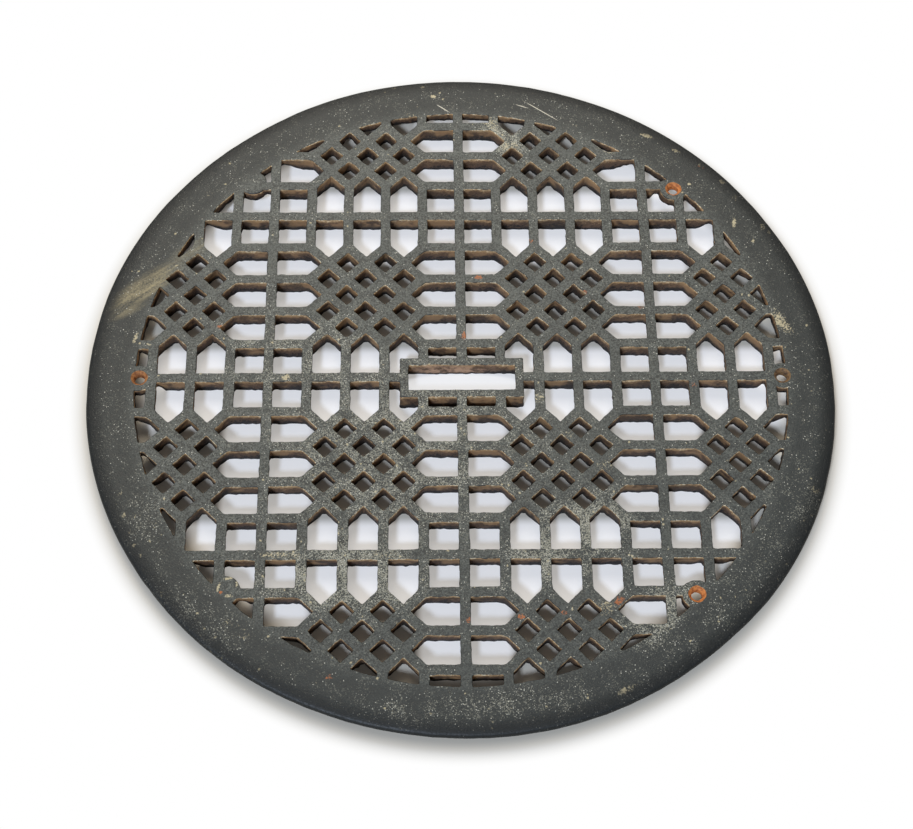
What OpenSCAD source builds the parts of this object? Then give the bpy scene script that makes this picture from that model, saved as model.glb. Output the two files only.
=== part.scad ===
// Round cast iron vent grille: a rolled rim around a flat pierced lattice, cast as one piece.
// The bars hang lower than the rim, so they drop into the opening that the rim is seated around.
// The origin is under the middle of the lattice, Z = 0 is the underside of the bars,
// and the long side of the central slot runs along X.

/* [Rim] */
// Diameter across the outermost edge of the rim
rim_d = 406; // [396:1:420]
// Height of the flat top face above the undersides of the bars
height = 12; // [10:0.5:14]
// Thickness of the rim, from the top face to the plane it is seated on
rim_t = 5.4; // [4:0.1:6]
// Radius at which the undersides of the bars start to rise to the seat of the rim
seat_start = 171; // [160:1:172]
// Radial run of the slope up to the seat
seat_run = 5; // [3:0.5:6]
// Width of the band along the edge where the top rolls down
roll_w = 11; // [8:0.5:14]
// Fall of the top across that band, to the top of the rounded edge
roll_fall = 0.8; // [0.4:0.1:1.5]

/* [Lattice] */
// Diameter of the round window that holds the lattice
window_d = 354; // [348:1:358]
// Distance between neighbouring bars
pitch = 21; // [20.4:0.1:21.6]
// Width of the straight bars at the top face
bar_w = 5.6; // [4.5:0.1:8]
// Width of the diagonal bars at the top face
diag_w = 5.7; // [4.5:0.1:8]
// How much each side of a bar leans in between the top face and the underside
taper = 1.8; // [0:0.1:2]
// Bars from one line of crossings to the next
cell = 5; // [4:1:6]
// Bar counted from the middle where the outermost line of crossings would lie
last_line = 9; // [9:1:10]

/* [Lever slot] */
// Length of the slot that the damper lever passes through
slot_l = 58; // [40:1:70]
// Width of the slot
slot_w = 15.2; // [8:0.2:20]
// Width of the frame bars around the slot
frame_w = 4.5; // [3:0.1:6]
// Offset of the slot from the middle of the lattice, towards the viewer
slot_shift = 0.4; // [0:0.1:1]

/* [Screw bosses] */
// Radius of the circle that the six bosses lie on
boss_circle_r = 174.5; // [171:0.5:177]
// Diameter of each boss
boss_d = 15.5; // [12:0.5:18]
// Diameter of the flat round each boss on the underside, level with the seat
boss_flat_d = 22; // [19:0.5:26]
// Directions of the four bosses that are drilled
drilled_at = [0, 45, 180, 312.8];
// Directions of the two bosses that were left blank
blank_at = [132.6, 225.4];
// Diameter of the screw hole
hole_d = 5.8; // [4:0.1:7]
// Diameter of the countersink at the top face
sink_d = 9.2; // [8:0.1:11]
// Full angle of the countersink
sink_angle = 90; // [80:1:100]

/* [Hidden] */
$fn = 120;
over = 1;
hole_fn = 24;
round_fn = 32;
thinnest_cut = 1;
reach_out = 2 * pitch;
lean = atan(taper / height);
rim_r = rim_d / 2;
window_r = window_d / 2;
half_gap = (pitch - bar_w) / 2;
diag_reach = diag_w / sqrt(2);
arrow_tip = 1.5 * pitch - diag_reach;
lines = [for (side = [-1, 1], at = side < 0 ? [last_line, cell] : [0, cell, last_line]) side * at];
sink_slope = tan(sink_angle / 2);
sink_depth = (sink_d - hole_d) / 2 / sink_slope;

// The crown arc starts level at the inner edge of the roll and runs tangent into the nose arc,
// which rounds the edge from there down to the seat.
seat_z = height - rim_t;
nose_r = (rim_t - roll_fall) / 2;
crown_run = roll_w - nose_r;
crown_gap = (crown_run * crown_run + roll_fall * roll_fall) / (2 * roll_fall);
crown_r = crown_gap + nose_r;
crown_turn = asin(crown_run / crown_gap);

// Plan shapes of the openings, each with its foot on the bar line at y = 0.
square_shape = [[-half_gap, -half_gap], [half_gap, -half_gap], [half_gap, half_gap], [-half_gap, half_gap]];
arrow_shape = [
    [-half_gap, bar_w / 2],
    [half_gap, bar_w / 2],
    [half_gap, arrow_tip - half_gap],
    [0, arrow_tip],
    [-half_gap, arrow_tip - half_gap]
];
diamond_shape = [for (turn = [0:90:270]) (pitch / 2 - diag_reach) * [cos(turn), sin(turn)]];

// A plan shape turned about its foot and moved to its place.
function placed(shape, at, turn = 0) =
    [for (p = shape) at + [p.x * cos(turn) - p.y * sin(turn), p.x * sin(turn) + p.y * cos(turn)]];

// Half of the section through the plate that the rim and the tops of the bars share.
module plate_section() {
    translate([0, seat_z])
        square([rim_r - roll_w, rim_t]);
    crown_section();
    translate([rim_r - nose_r, seat_z + nose_r])
        circle(nose_r, $fn = round_fn);
}

// Half of the section through the part that hangs lower than the rim.
module drop_section() {
    polygon([
        [0, 0],
        [seat_start, 0],
        [seat_start + seat_run, seat_z],
        [seat_start + seat_run, seat_z + over],
        [0, seat_z + over]
    ]);
}

// The crown is ended on the line through both arc centres, where it meets the nose.
module crown_section() {
    intersection() {
        translate([rim_r - roll_w, height - crown_r])
            circle(crown_r);
        polygon([
            [rim_r - roll_w, seat_z],
            [rim_r - nose_r, seat_z],
            [rim_r - nose_r, seat_z + nose_r],
            [rim_r - nose_r + roll_w * sin(crown_turn), seat_z + nose_r + roll_w * cos(crown_turn)],
            [rim_r - roll_w, seat_z + nose_r + roll_w]
        ]);
    }
}

// One opening through the lattice, cut off where it runs past the round window.
module opening(corners) {
    reach = [for (c = corners) norm(c)];
    if (min(reach) < window_r - thinnest_cut) {
        if (max(reach) > window_r)
            intersection() {
                between_bars(corners);
                translate([0, 0, -over])
                    cylinder(h = height + 2 * over, r = window_r);
            }
        else
            between_bars(corners);
    }
}

// The space between bars that leave the plan shape open at the top face and taper on the way down.
module between_bars(corners) {
    intersection_for(n = [0:len(corners) - 1])
        beside_bar(corners[n], corners[(n + 1) % len(corners)]);
}

// The space on the left of one side of the plan shape, behind a wall that leans back.
module beside_bar(start, end) {
    side = end - start;
    translate([start.x, start.y, height])
        rotate([-lean, 0, atan2(side.y, side.x)])
            translate([-reach_out, 0, -reach_out])
                cube([2 * reach_out, reach_out, 2 * reach_out]);
}

// The field between two neighbouring lines of crossings each way: a small square in each corner,
// arrows that point inwards from all four sides, and diamonds where the diagonal bars cross.
module field(x0, x1, y0, y1) {
    half = pitch / 2;
    for (x = [x0 + half, x1 - half], y = [y0 + half, y1 - half])
        opening(placed(square_shape, [x, y]));
    for (x = [x0 + 3 * half : pitch : x1 - 2 * half]) {
        opening(placed(arrow_shape, [x, y0]));
        opening(placed(arrow_shape, [x, y1], 180));
    }
    for (y = [y0 + 3 * half : pitch : y1 - 2 * half]) {
        opening(placed(arrow_shape, [x0, y], 270));
        opening(placed(arrow_shape, [x1, y], 90));
    }
    across = round((x1 - x0) / half);
    up = round((y1 - y0) / half);
    for (i = [3:across - 3], j = [3:up - 3])
        if ((i + j) % 2 == 1)
            opening(placed(diamond_shape, [x0 + i * half, y0 + j * half]));
}

// All openings, before the bosses and the slot frame take their share of them.
module openings() {
    for (i = [0:len(lines) - 2], j = [0:len(lines) - 2])
        field(lines[i] * pitch, lines[i + 1] * pitch, lines[j] * pitch, lines[j + 1] * pitch);
}

module slot_block(length, width) {
    translate([-length / 2, -width / 2 - slot_shift, -over])
        cube([length, width, height + 2 * over]);
}

module at_bosses(directions) {
    for (turn = directions)
        rotate(turn)
            translate([boss_circle_r, 0, 0])
                children();
}

// The plate stays solid under a boss, where the lattice would be open.
module boss_land() {
    translate([0, 0, -over])
        cylinder(h = height + 2 * over, d = boss_d, $fn = round_fn);
}

// The bars stop short of the bosses on the underside, so each boss is seated like the rim.
module boss_flat() {
    translate([0, 0, -over])
        cylinder(h = seat_z + 3 * over, d = boss_flat_d);
}

module plate() {
    rotate_extrude()
        plate_section();
    difference() {
        rotate_extrude()
            drop_section();
        at_bosses(concat(drilled_at, blank_at))
            boss_flat();
    }
}

module screw_hole() {
    translate([0, 0, -over])
        cylinder(h = height + 2 * over, d = hole_d, $fn = hole_fn);
    translate([0, 0, height - sink_depth])
        cylinder(h = sink_depth + over, d1 = hole_d, d2 = sink_d + 2 * over * sink_slope, $fn = hole_fn);
}

module grille() {
    color("#3c4143")
        difference() {
            plate();
            difference() {
                openings();
                slot_block(slot_l + 2 * frame_w, slot_w + 2 * frame_w);
                at_bosses(concat(drilled_at, blank_at))
                    boss_land();
            }
            slot_block(slot_l, slot_w);
            at_bosses(drilled_at)
                screw_hole();
        }
}

grille();
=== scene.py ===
"""A round cast iron vent grille on a pale floor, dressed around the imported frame."""

import logging
import math
from dataclasses import dataclass, field
from enum import Enum
from typing import Any, Callable, Iterable, Sequence

import bpy
import numpy as np
from mathutils import Matrix, Vector
from mathutils.geometry import delaunay_2d_cdt


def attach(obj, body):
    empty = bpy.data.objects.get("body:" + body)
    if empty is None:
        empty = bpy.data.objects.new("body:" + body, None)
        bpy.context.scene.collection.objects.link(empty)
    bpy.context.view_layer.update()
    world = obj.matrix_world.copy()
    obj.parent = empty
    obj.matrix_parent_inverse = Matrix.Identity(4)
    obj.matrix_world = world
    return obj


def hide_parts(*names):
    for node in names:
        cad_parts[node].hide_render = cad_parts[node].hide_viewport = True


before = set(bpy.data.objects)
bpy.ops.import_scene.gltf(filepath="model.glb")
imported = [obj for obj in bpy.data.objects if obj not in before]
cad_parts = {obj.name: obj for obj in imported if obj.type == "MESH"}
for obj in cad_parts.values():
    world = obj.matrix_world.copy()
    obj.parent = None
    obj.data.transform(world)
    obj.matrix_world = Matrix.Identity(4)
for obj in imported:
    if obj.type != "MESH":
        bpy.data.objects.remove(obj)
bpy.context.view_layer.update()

MM = 0.001
TURN = 2 * math.pi
TINY = 1e-9
LOG = logging.getLogger("grille")

Colour = tuple[float, float, float, float]
Clearance = tuple[np.ndarray, np.ndarray]
Socket = bpy.types.NodeSocket
# A socket, or the plain value of an input.
Value = Any


def linear(red: float, green: float, blue: float) -> Colour:
    """Turn a colour as seen on screen into the renderer's linear colour.

    Args:
        red: Red from 0 to 255.
        green: Green from 0 to 255.
        blue: Blue from 0 to 255.

    Returns:
        The linear colour, with an alpha of 1.
    """
    parts = [c / 255 for c in (red, green, blue)]
    r, g, b = (c / 12.92 if c <= 0.04045 else ((c + 0.055) / 1.055) ** 2.4 for c in parts)
    return (r, g, b, 1.0)


def around(count: int) -> np.ndarray:
    """Return unit directions in the plan, evenly round the full turn."""
    turns = np.linspace(0, TURN, count, endpoint=False)
    return np.stack([np.cos(turns), np.sin(turns)], -1)


@dataclass(frozen=True)
class GrilleSizes:
    """Sizes of the casting in millimetres, as the solid model has them."""

    rim_r: float = 203.0
    height: float = 12.0
    rim_t: float = 5.4
    seat_start: float = 171.0
    seat_run: float = 5.0
    roll_w: float = 11.0
    roll_fall: float = 0.8
    window_r: float = 177.0
    land_r: float = 187.0
    pitch: float = 21.0
    bar_w: float = 5.6
    diag_w: float = 5.7
    taper: float = 1.8
    cell: int = 5
    last_line: int = 9
    slot: tuple[float, float] = (58.0, 15.2)
    frame_w: float = 4.5
    slot_shift: float = 0.4
    boss_circle_r: float = 174.5
    boss_r: float = 7.75
    boss_flat_r: float = 11.0
    boss_flat_edge: float = 1.5
    drilled_at: tuple[float, ...] = (0.0, 45.0, 180.0, 312.8)
    blank_at: tuple[float, ...] = (132.6, 225.4)
    hole_r: float = 2.9
    sink_r: float = 4.6
    thinnest_cut: float = 1.0

    def on_boss_circle(self, degrees: float) -> np.ndarray:
        """Return the plan position of the boss that lies in a direction."""
        turn = math.radians(degrees)
        return self.boss_circle_r * np.array([math.cos(turn), math.sin(turn)])

    @property
    def boss_centres(self) -> np.ndarray:
        """Plan positions of all six bosses."""
        return np.array([self.on_boss_circle(a) for a in self.drilled_at + self.blank_at])

    @property
    def seat_z(self) -> float:
        """Height of the plane that the rim is seated on."""
        return self.height - self.rim_t

    @property
    def nose_r(self) -> float:
        """Radius of the rounded outermost edge."""
        return (self.rim_t - self.roll_fall) / 2

    def underside(self, points: np.ndarray) -> np.ndarray:
        """Return the height of the underside at plan positions.

        Args:
            points: Plan positions, with x and y on the last axis.

        Returns:
            The height: low under the bars, level with the seat under the rim and round the bosses.
        """
        reach = np.hypot(points[..., 0], points[..., 1])
        height = np.interp(reach, [self.seat_start, self.seat_start + self.seat_run], [0.0, self.seat_z])
        for centre in self.boss_centres:
            away = np.hypot(*(points - centre).T)
            edge = [self.boss_flat_r, self.boss_flat_r + self.boss_flat_edge]
            height = np.maximum(height, np.interp(away, edge, [self.seat_z, 0.0]))
        return height


SIZES = GrilleSizes()


class Ripple:
    """Smooth seeded unevenness made of plane waves, about one unit either way."""

    def __init__(
        self, seed: int, shortest: float, longest: float, waves: int = 20, lean: float = 0.7
    ) -> None:
        """Draw the waves.

        Args:
            seed: Seed of the draw.
            shortest: Shortest wave in millimetres.
            longest: Longest wave in millimetres.
            waves: Number of waves.
            lean: Spread of how fast the waves change with height, next to how fast they do in the plan.
        """
        rng = np.random.default_rng(seed)
        heading = rng.uniform(0, TURN, waves)
        rate = TURN / rng.uniform(shortest, longest, waves)
        upward = rng.normal(0, lean, waves)
        self.rates = np.stack([np.cos(heading), np.sin(heading), upward], 0) * rate
        self.phase = rng.uniform(0, TURN, waves)
        self.gain = math.sqrt(2 / waves)

    def at(self, points: np.ndarray, height: float = 0.0) -> np.ndarray:
        """Return the unevenness at plan positions and one height."""
        angle = points @ self.rates[:2] + height * self.rates[2] + self.phase
        return self.gain * np.sin(angle).sum(-1)


WALL_RIPPLE = Ripple(11, 2.4, 13.0, 28)
RAGGED_RIPPLE = Ripple(12, 2.0, 8.0)


@dataclass(frozen=True)
class Level:
    """One ring round an opening, between the top face and the underside.

    The share is that of the way down, and the spread is how far the ring lies outside the tapered wall.
    """

    share: float
    drop: float
    spread: float
    rough: float
    # Wear of the painted edge near the top; down the walls, painted light that makes the rust gold at the
    # top and dark towards the foot.
    wear_and_light: float


LEVELS = (
    Level(share=0.0, drop=0.0, spread=0.38, rough=0.09, wear_and_light=0.0),
    Level(share=0.0, drop=0.12, spread=0.13, rough=0.10, wear_and_light=0.7),
    Level(share=0.0, drop=0.42, spread=-0.05, rough=0.10, wear_and_light=1.0),
    Level(share=0.28, drop=0.0, spread=-0.10, rough=0.11, wear_and_light=0.6),
    Level(share=0.58, drop=0.0, spread=-0.12, rough=0.14, wear_and_light=0.3),
    Level(share=0.86, drop=0.0, spread=-0.20, rough=0.16, wear_and_light=0.1),
    Level(share=1.0, drop=0.0, spread=-0.34, rough=0.16, wear_and_light=0.0),
)


@dataclass(frozen=True)
class Nub:
    """A lump of flash on a wall, which narrows the opening beside it."""

    x: float
    y: float
    reach: float
    size: float

    def fill(self, points: np.ndarray) -> np.ndarray:
        """Return how far the lump fills the opening at plan positions."""
        away = (points[..., 0] - self.x) ** 2 + (points[..., 1] - self.y) ** 2
        return self.size * np.exp(-away / self.reach**2)


NUBS = (
    Nub(x=-76.5, y=-8.6, reach=3.0, size=2.2),
    Nub(x=40.4, y=8.9, reach=2.6, size=1.2),
    Nub(x=-117.0, y=124.8, reach=4.6, size=2.6),
    Nub(x=-118.6, y=114.6, reach=1.6, size=1.3),
    Nub(x=-114.4, y=117.2, reach=1.2, size=0.9),
    Nub(x=-121.8, y=112.6, reach=1.4, size=0.8),
    Nub(x=33.0, y=-70.5, reach=2.2, size=1.4),
)


class Bound:
    """Something that an opening ends at. Its draft is the share of the bars' taper that it has."""

    draft: float = 0.0

    def clearance(self, points: np.ndarray) -> Clearance:
        """Measure how far plan positions lie inside the opening.

        Args:
            points: Plan positions, with x and y on the last axis.

        Returns:
            For each position and each edge of the bound, the distance and the direction in which it grows.
        """
        raise NotImplementedError


@dataclass(frozen=True)
class Sides(Bound):
    """Straight sides between corners, which run round the opening counter-clockwise."""

    corners: np.ndarray
    draft: float = 1.0

    def clearance(self, points: np.ndarray) -> Clearance:
        """Measure from every side.

        Args:
            points: Plan positions.

        Returns:
            For each position and each side, the distance and the direction in which it grows.
        """
        along = np.roll(self.corners, -1, axis=0) - self.corners
        along = along / np.hypot(along[:, 0], along[:, 1])[:, None]
        inward = np.stack([-along[:, 1], along[:, 0]], -1)
        apart = points @ inward.T - (self.corners * inward).sum(-1)
        return apart, np.broadcast_to(inward, apart.shape + (2,))


@dataclass(frozen=True)
class Round(Bound):
    """A circle that the opening lies outside, or within."""

    centre: np.ndarray
    radius: float
    within: bool = False

    def clearance(self, points: np.ndarray) -> Clearance:
        """Measure from the circle.

        Args:
            points: Plan positions.

        Returns:
            For each position, the distance and the direction in which it grows.
        """
        away = points - self.centre
        reach = np.hypot(away[:, 0], away[:, 1])
        sign = -1.0 if self.within else 1.0
        ways = sign * away / np.maximum(reach, TINY)[:, None]
        return (sign * (reach - self.radius))[:, None], ways[:, None]


@dataclass(frozen=True)
class Block(Bound):
    """An upright rectangle with rounded corners that the opening lies outside."""

    centre: np.ndarray
    half: np.ndarray
    corner_r: float = 0.8

    def clearance(self, points: np.ndarray) -> Clearance:
        """Measure from the rectangle's outline.

        Args:
            points: Plan positions.

        Returns:
            For each position, the distance and the direction in which it grows.
        """
        away = points - self.centre
        off = np.abs(away) - self.half + self.corner_r
        beyond = np.maximum(off, 0.0)
        reach = np.hypot(beyond[:, 0], beyond[:, 1])
        nearest = (off == off.max(-1, keepdims=True)).astype(float)
        ways = np.where(reach[:, None] > 0, beyond / np.maximum(reach, TINY)[:, None], nearest)
        apart = reach + np.minimum(off.max(-1), 0.0) - self.corner_r
        return apart[:, None], (ways * np.sign(away))[:, None]


@dataclass
class Opening:
    """An opening through the lattice: the room that its bounds leave, with rounded corners."""

    corners: np.ndarray
    bounds: Sequence[Bound]
    rounding: float = 0.3
    outline: np.ndarray = field(default_factory=lambda: np.zeros((0, 2)))
    room: float = 0.0

    def clear(self, points: np.ndarray, wider: np.ndarray | float = 0.0) -> Clearance:
        """Measure how far plan positions lie inside the opening.

        Args:
            points: Plan positions.
            wider: How far a fully tapered wall has moved back at each of them.

        Returns:
            The clearance, positive inside the opening, and its slope.
        """
        measured = [bound.clearance(points) for bound in self.bounds]
        back = np.broadcast_to(wider, len(points))[:, None]
        apart = np.concatenate([m[0] + bound.draft * back for m, bound in zip(measured, self.bounds)], 1)
        ways = np.concatenate([m[1] for m in measured], 1)
        least = apart.min(1, keepdims=True)
        share = np.exp((least - apart) / self.rounding)
        total = share.sum(1, keepdims=True)
        value = (least - self.rounding * np.log(total))[:, 0]
        return value, ((share / total)[..., None] * ways).sum(1)

    def settle(self, smallest: float = 0.55, samples: int = 25) -> bool:
        """Follow the outline, and set the points that every ring starts from.

        Args:
            smallest: Clearance in millimetres below which an opening isn't cast open.
            samples: Number of places each way that are tried for the widest one.

        Returns:
            False if the bounds leave next to nothing of the opening.
        """
        low, high = self.corners.min(0), self.corners.max(0)
        tried = (np.linspace(a, b, samples) for a, b in zip(low, high))
        grid = np.stack(np.meshgrid(*tried), -1).reshape(-1, 2)
        room, _ = self.clear(grid)
        self.room = float(room.max())
        if self.room < smallest:
            return False
        self.outline = self._onto(self._spread(self._follow(grid[np.argmax(room)])), self.clear)
        return True

    def _follow(self, start: np.ndarray, step: float = 0.5, longest: int = 600, lead: int = 4) -> np.ndarray:
        """Walk round the outline counter-clockwise.

        Args:
            start: A plan position inside the opening.
            step: Length of a step in millimetres.
            longest: Number of steps after which the walk ends in any case.
            lead: Number of first steps that only find the outline.

        Returns:
            Plan positions on the outline.
        """
        ray_length, ray_samples, flattest, met_within = 60.0, 241, 0.3, 0.75
        ray = start + np.linspace(0, ray_length, ray_samples)[:, None] * np.array([[1.0, 0.0]])
        here = ray[np.argmax(self.clear(ray)[0] < 0)][None]
        trail: list[np.ndarray] = []
        while len(trail) < longest:
            value, way = self.clear(here)
            size = max(float(np.hypot(*way[0])), flattest)
            here = here - way * value[0] / size**2
            trail.append(here[0])
            if len(trail) > 2 * lead and np.hypot(*(trail[-1] - trail[lead])) < step * met_within:
                break
            here = here + step * np.array([[way[0, 1], -way[0, 0]]]) / size
        return np.array(trail[lead:-1])

    @staticmethod
    def _spread(trail: np.ndarray, side: float = 1.75, bend: float = 27.0, fewest: int = 12) -> np.ndarray:
        """Pick points along a closed trail: evenly along the sides, closer where it bends.

        Args:
            trail: Plan positions round the outline.
            side: Distance between points along a straight side, in millimetres.
            bend: Angle between points round a corner, in degrees.
            fewest: Least number of points.

        Returns:
            The picked plan positions.
        """
        step = np.roll(trail, -1, axis=0) - trail
        heading = np.arctan2(step[:, 1], step[:, 0])
        turned = np.abs((heading - np.roll(heading, 1) + math.pi) % TURN - math.pi)
        turned = (turned + np.roll(turned, -1)) / 2
        total = np.concatenate([[0.0], np.cumsum(np.hypot(*step.T) / side + turned / math.radians(bend))])
        count = max(fewest, int(round(total[-1])))
        wanted = (np.arange(count) + 0.5) * total[-1] / count
        closed = np.concatenate([trail, trail[:1]])
        return np.column_stack([np.interp(wanted, total, closed[:, axis]) for axis in (0, 1)])

    @staticmethod
    def _onto(
        points: np.ndarray, spare: Callable[[np.ndarray], Clearance], gap: float = 0.1, furthest: float = 0.3
    ) -> np.ndarray:
        """Move the points of a closed trail to where a clearance is zero, and keep them in order.

        Args:
            points: Plan positions round an outline.
            spare: Clearance and its slope as a function of plan positions.
            gap: Least distance between neighbours in millimetres.
            furthest: Longest single move in millimetres.

        Returns:
            The moved plan positions.
        """
        rounds, flattest = 6, 0.25
        for _ in range(rounds):
            value, way = spare(points)
            size = np.maximum((way**2).sum(-1), flattest)
            points = points - way * np.clip(value / size, -furthest, furthest)[:, None]
            along = np.column_stack([way[:, 1], -way[:, 0]]) / np.sqrt(size)[:, None]
            ahead = ((np.roll(points, -1, axis=0) - points) * along).sum(-1)
            push = along * (np.clip(gap - ahead, 0.0, 2 * gap) / 2)[:, None]
            points = points - push + np.roll(push, 1, axis=0)
        return points

    def rings(self) -> list[np.ndarray]:
        """Trace the rings of the wall, each from the one above it.

        Returns:
            The rings' points in millimetres, from the top face to the underside.
        """
        roughest, nubs_from, nub_top, nub_growth = 0.3, 0.2, 0.4, 0.6
        ragged_mean, ragged_wave, ragged_least, ragged_most = 0.14, 0.16, 0.02, 0.5
        plan, traced = self.outline, []
        for level in LEVELS:
            rough = min(level.rough, roughest * self.room)
            nub_share = nub_top + nub_growth * level.share if level.share + level.drop > nubs_from else 0.0

            def spare(points: np.ndarray) -> Clearance:
                """Measure the clearance at this ring's depth.

                Args:
                    points: Plan positions.

                Returns:
                    The clearance and its slope.
                """
                depth = level.drop + (SIZES.height - level.drop - SIZES.underside(points)) * level.share
                room, way = self.clear(points, SIZES.taper * depth / SIZES.height)
                filled = sum(nub.fill(points) for nub in NUBS) * nub_share
                about = SIZES.height * (1 - level.share) - level.drop
                return room + level.spread + rough * WALL_RIPPLE.at(points, about) - filled, way

            plan = self._onto(plan, spare)
            ragged = np.clip(ragged_mean + ragged_wave * RAGGED_RIPPLE.at(plan), ragged_least, ragged_most)
            top = SIZES.height - level.drop
            heights = top + (SIZES.underside(plan) + ragged - top) * level.share
            traced.append(np.column_stack([plan, heights]))
        return traced


class LatticePlan:
    """The rule that lays out the openings, as the solid model has it."""

    seed: int = 5
    rounding_range: tuple[float, float] = (0.2, 0.42)
    misplaced: float = 0.09
    slot_draft: float = 0.8
    near_window: float = 3.0
    near: float = 2.0

    def __init__(self, sizes: GrilleSizes) -> None:
        """Work out the three shapes of opening.

        Args:
            sizes: Sizes of the casting.
        """
        self.sizes = sizes
        gap = (sizes.pitch - sizes.bar_w) / 2
        reach = sizes.diag_w / math.sqrt(2)
        tip = 1.5 * sizes.pitch - reach
        foot = sizes.bar_w / 2
        diamond = sizes.pitch / 2 - reach
        self.square = np.array([[-gap, -gap], [gap, -gap], [gap, gap], [-gap, gap]])
        self.arrow = np.array([[-gap, foot], [gap, foot], [gap, tip - gap], [0, tip], [-gap, tip - gap]])
        self.diamond = diamond * np.array([[1.0, 0.0], [0.0, 1.0], [-1.0, 0.0], [0.0, -1.0]])

    @staticmethod
    def _placed(shape: np.ndarray, x: float, y: float, quarter: int = 0) -> np.ndarray:
        """Turn a shape about its foot and move it to its place.

        Args:
            shape: Corners of the shape.
            x: Place of its foot along x.
            y: Place of its foot along y.
            quarter: Number of quarter turns.

        Returns:
            The corners in their place.
        """
        for _ in range(quarter):
            shape = np.column_stack([-shape[:, 1], shape[:, 0]])
        return shape + np.array([x, y])

    def _field(self, x0: float, x1: float, y0: float, y1: float) -> Iterable[np.ndarray]:
        """Lay out the openings between two neighbouring lines of crossings each way.

        Args:
            x0: Left line.
            x1: Right line.
            y0: Lower line.
            y1: Upper line.

        Yields:
            The corners of each opening.
        """
        pitch, half = self.sizes.pitch, self.sizes.pitch / 2
        for x in (x0 + half, x1 - half):
            for y in (y0 + half, y1 - half):
                yield self._placed(self.square, x, y)
        past_end = 0.01
        for x in np.arange(x0 + 3 * half, x1 - 2 * half + past_end, pitch):
            yield self._placed(self.arrow, x, y0)
            yield self._placed(self.arrow, x, y1, 2)
        for y in np.arange(y0 + 3 * half, y1 - 2 * half + past_end, pitch):
            yield self._placed(self.arrow, x0, y, 3)
            yield self._placed(self.arrow, x1, y, 1)
        across, up = round((x1 - x0) / half), round((y1 - y0) / half)
        for i in range(3, across - 2):
            for j in range(3, up - 2):
                if (i + j) % 2 == 1:
                    yield self._placed(self.diamond, x0 + i * half, y0 + j * half)

    def openings(self) -> list[Opening]:
        """Lay out every opening that the window, the bosses and the slot frame leave.

        Returns:
            The openings, with the lever slot as the last.
        """
        sizes = self.sizes
        rng = np.random.default_rng(self.seed)
        lines = [n * sizes.pitch for n in (-sizes.last_line, -sizes.cell, 0, sizes.cell, sizes.last_line)]
        found = []
        for x0, x1 in zip(lines, lines[1:]):
            for y0, y1 in zip(lines, lines[1:]):
                for corners in self._field(x0, x1, y0, y1):
                    rounding, shift = rng.uniform(*self.rounding_range), rng.normal(0, self.misplaced, 2)
                    if np.hypot(*corners.T).min() >= sizes.window_r - sizes.thinnest_cut:
                        continue
                    opening = Opening(corners + shift, self._bounds(corners + shift), rounding)
                    if opening.settle():
                        found.append(opening)
        half = np.array(sizes.slot) / 2
        slot = np.array([[-1, -1], [1, -1], [1, 1], [-1, 1]]) * half - [0, sizes.slot_shift]
        found.append(Opening(slot, [Sides(slot, draft=self.slot_draft)]))
        found[-1].settle()
        return found

    def _bounds(self, corners: np.ndarray) -> list[Bound]:
        """Return what an opening of the lattice ends at.

        Args:
            corners: Corners of its plan shape.

        Returns:
            Its sides, and the window's edge, the bosses and the slot frame if they come near.
        """
        sizes = self.sizes
        bounds: list[Bound] = [Sides(corners)]
        if np.hypot(*corners.T).max() > sizes.window_r - self.near_window:
            bounds.append(Round(np.zeros(2), sizes.window_r, within=True))
        low, high = corners.min(0), corners.max(0)
        for centre in sizes.boss_centres:
            nearest = np.clip(centre, low, high)
            if np.hypot(*(nearest - centre)) < sizes.boss_r + self.near:
                bounds.append(Round(centre, sizes.boss_r))
        middle, half = np.array([0.0, -sizes.slot_shift]), np.array(sizes.slot) / 2 + sizes.frame_w
        if (np.abs(np.clip(middle, low, high) - middle) < half + self.near).all():
            bounds.append(Block(middle, half))
        return bounds


class Skin(Enum):
    """Kinds of surface on the casting, in the order of its material slots."""

    PAINT = 0
    WALL = 1
    SINK = 2
    UNDERSIDE = 3


@dataclass
class Ring:
    """A closed run of the mesh's vertices."""

    numbers: np.ndarray
    points: np.ndarray

    @property
    def plan(self) -> np.ndarray:
        """Plan positions of the vertices."""
        return self.points[:, :2]


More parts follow.
